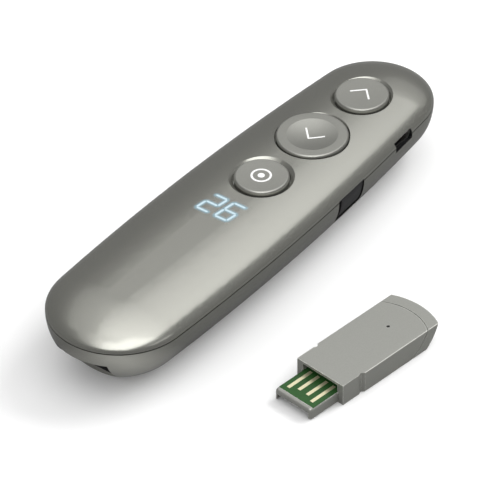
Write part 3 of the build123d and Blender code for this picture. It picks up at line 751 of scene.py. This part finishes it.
def glow_sheet(name, shift, lit):
    """Soft light in the paint round a figure's bars: full at a bar and gone at glow_width."""
    wide = figure_width + bar_width + 2 * glow_width
    tall = figure_height + bar_width + 2 * glow_width
    deselect()
    bpy.ops.mesh.primitive_plane_add(size=1.0, location=(shift, 0, 0))
    piece = named(name)
    piece.scale = (wide, tall, 1)
    settle(piece)
    pick(piece, "FACE", lambda face: True)
    bpy.ops.mesh.subdivide(number_cuts=47)
    leave()
    level = piece.data.attributes.new("glow", "FLOAT", "POINT")
    for index, vertex in enumerate(piece.data.vertices):
        gap = min(gap_to_bar(vertex.co, shift, bar) for bar in lit)
        level.data[index].value = max(0.0, min(1.0, 1.0 - gap / glow_width))
    return piece


for figure, shift, lit in figures:
    for bar in lit:
        piece = flat_bar(f"{figure}_{bar}", *bar_place(shift, bar))
        lay_on_crown(piece, bar_lift, sign_height, "bar_light")
    lay_on_crown(glow_sheet(f"{figure}_glow", shift, lit), sign_lift, glow_height, "glow_light")

# ---------------------------------------------------------------- floor, light and camera

floor_size = 6.0
floor_drop = 0.03 * MM          # clear of what rests on it
bank_turn = radians(17.5)
bank_height = 1.0


def build_floor(albedo, bounced, in_gloss, light_pool_middle, light_pool_radii):
    """Plain pale floor.

    bounced is how much of its light reaches matt surfaces, and in_gloss how light it is
    mirrored: dimmed in the open as a painted shade, and brightened in a painted pool of light
    of an inner and an outer radius, both seen only in reflections.
    """
    deselect()
    bpy.ops.mesh.primitive_plane_add(size=floor_size, location=(0, 0, -floor_drop))
    floor = named("floor")
    settle(floor)
    material, tree, shader = new_material("studio_floor")
    slow = place_group(tree, mottle_group, Scale=6.0)
    tone = blend_node(tree, slow.outputs["Mask"], 0.995, 1.0)
    path = tree.nodes.new("ShaderNodeLightPath")
    # A painted pool of light on the floor, seen only in glossy reflections.
    away = vector_node(tree, "DISTANCE", place_node(tree), light_pool_middle)
    in_the_open, in_the_light_pool = in_gloss
    level = spread_node(tree, away, *light_pool_radii, in_the_light_pool, in_the_open)
    seen = blend_node(tree, path.outputs["Is Diffuse Ray"], 1.0, bounced)
    seen = blend_node(tree, path.outputs["Is Glossy Ray"], seen, level)
    shade = scaled_colour(tree, (albedo,) * 3, math_node(tree, "MULTIPLY", tone, seen))
    tree.links.new(shade, shader.inputs["Base Color"])
    shader.inputs["Roughness"].default_value = 0.9
    shader.inputs["Specular IOR Level"].default_value = 0.0
    floor.data.materials.append(material)


def softbox(name, centre, turn, length, width, brightness, gloss=True, shade=True):
    """Level rectangular softbox at centre, its length turned about Z, facing down.

    gloss and shade say whether it shows in glossy reflections and whether it lights matt
    surfaces.
    """
    light = bpy.data.lights.new(name, "AREA")
    light.shape = "RECTANGLE"
    light.size = length
    light.size_y = width
    light.energy = brightness * pi * length * width
    lamp = bpy.data.objects.new(name, light)
    bpy.context.collection.objects.link(lamp)
    lamp.location = centre
    lamp.rotation_euler = (0, 0, turn)
    lamp.visible_camera = False
    lamp.visible_glossy = gloss
    lamp.visible_diffuse = shade


def build_banks():
    """Bright bank over the tail, then strips that fade out towards the head; gloss only.

    A panel's start and end run along the banks' turn, and its right and left sides lie across
    it, all in metres from above the middle of the handset.
    """
    along = Vector((cos(bank_turn), sin(bank_turn), 0))
    across = Vector((-sin(bank_turn), cos(bank_turn), 0))

    def panel(name, start, end, right, left, brightness):
        centre = along * (start + end) / 2 + across * (right + left) / 2
        centre.z = bank_height
        softbox(name, centre, bank_turn, end - start, left - right, brightness, shade=False)

    panel("tail_end_bank", start=-1.15, end=-0.85, right=-0.6, left=0.25, brightness=2.6)
    panel("tail_bank", start=-0.85, end=0.1, right=-0.53, left=0.02, brightness=3.1)
    panel("tail_left_bank", start=-0.9, end=-0.15, right=0.02, left=0.2, brightness=2.8)
    panel("tail_corner_bank", start=-0.15, end=0.1, right=0.02, left=0.2, brightness=1.7)
    panel("tail_inner_fringe", start=-0.95, end=0.1, right=0.2, left=0.36, brightness=1.5)
    panel("tail_outer_fringe", start=-1.0, end=0.1, right=0.36, left=0.62, brightness=0.5)
    for step in range(5):
        start = 0.1 + 0.2 * step
        panel(
            f"fading_bank_{step}",
            start=start,
            end=start + 0.2,
            right=-0.47,
            left=0.34 + 0.02 * step,
            brightness=1.97 - 0.2 * step,
        )
    panel("crown_fringe", start=0.1, end=1.17, right=0.42, left=0.8, brightness=0.5)
    panel("head_bank", start=1.1, end=2.1, right=-0.8, left=0.4, brightness=0.38)
    panel("side_strip", start=-0.6, end=0.3, right=-1.35, left=-1.0, brightness=1.0)


def build_world(seen, reflected, ambient):
    """White beyond the floor's edge, and the room's grey in reflections and in the shade.

    reflected gives the grey that glossy surfaces mirror from low down and from overhead.
    """
    world = bpy.data.worlds.new("studio")
    world.use_nodes = True
    tree = world.node_tree
    path = tree.nodes.new("ShaderNodeLightPath")
    room = tree.nodes["Background"]
    direction = split_node(tree, tree.nodes.new("ShaderNodeTexCoord").outputs["Generated"])
    grey = spread_node(tree, direction["Z"], 0.6, 0.9, *reflected)
    level = blend_node(tree, path.outputs["Is Glossy Ray"], ambient, grey)
    level = blend_node(tree, path.outputs["Is Camera Ray"], level, seen)
    tree.links.new(level, room.inputs["Strength"])
    room.inputs["Color"].default_value = (1, 1, 1, 1)
    bpy.context.scene.world = world


def build_camera(aim, turn, tilt, roll, distance, lens):
    """Camera at a turn about Z and a tilt above the floor, looking at aim."""
    back = Vector((sin(turn) * cos(tilt), -cos(turn) * cos(tilt), sin(tilt)))
    level = Vector((cos(turn), sin(turn), 0))
    above = back.cross(level)
    right = cos(roll) * level + sin(roll) * above
    upward = cos(roll) * above - sin(roll) * level
    data = bpy.data.cameras.new("camera")
    data.lens = lens
    data.sensor_width = 36.0
    data.clip_start = 0.05
    camera = bpy.data.objects.new("camera", data)
    bpy.context.collection.objects.link(camera)
    turned = Matrix((right, upward, back)).transposed().to_4x4()
    camera.matrix_world = Matrix.Translation(aim + back * distance) @ turned
    bpy.context.scene.camera = camera


build_floor(
    albedo=0.97,
    bounced=0.6,
    in_gloss=(0.22, 0.76),
    light_pool_middle=(-0.070, -0.014, 0.0),
    light_pool_radii=(0.006, 0.030),
)
build_world(seen=1.0, reflected=(0.24, 0.36), ambient=0.98)
build_banks()
softbox(
    "shade_bank",
    centre=(1.3, -0.5, 1.0),
    turn=bank_turn,
    length=1.0,
    width=1.2,
    brightness=6.8,
    gloss=False,
)
build_camera(
    aim=Vector((0.745, -0.391, 0.0)) * MM,
    turn=radians(-52.031),
    tilt=radians(38.796),
    roll=radians(-0.870),
    distance=1.3081,
    lens=377.4,
)
bpy.context.scene.view_settings.view_transform = "Standard"
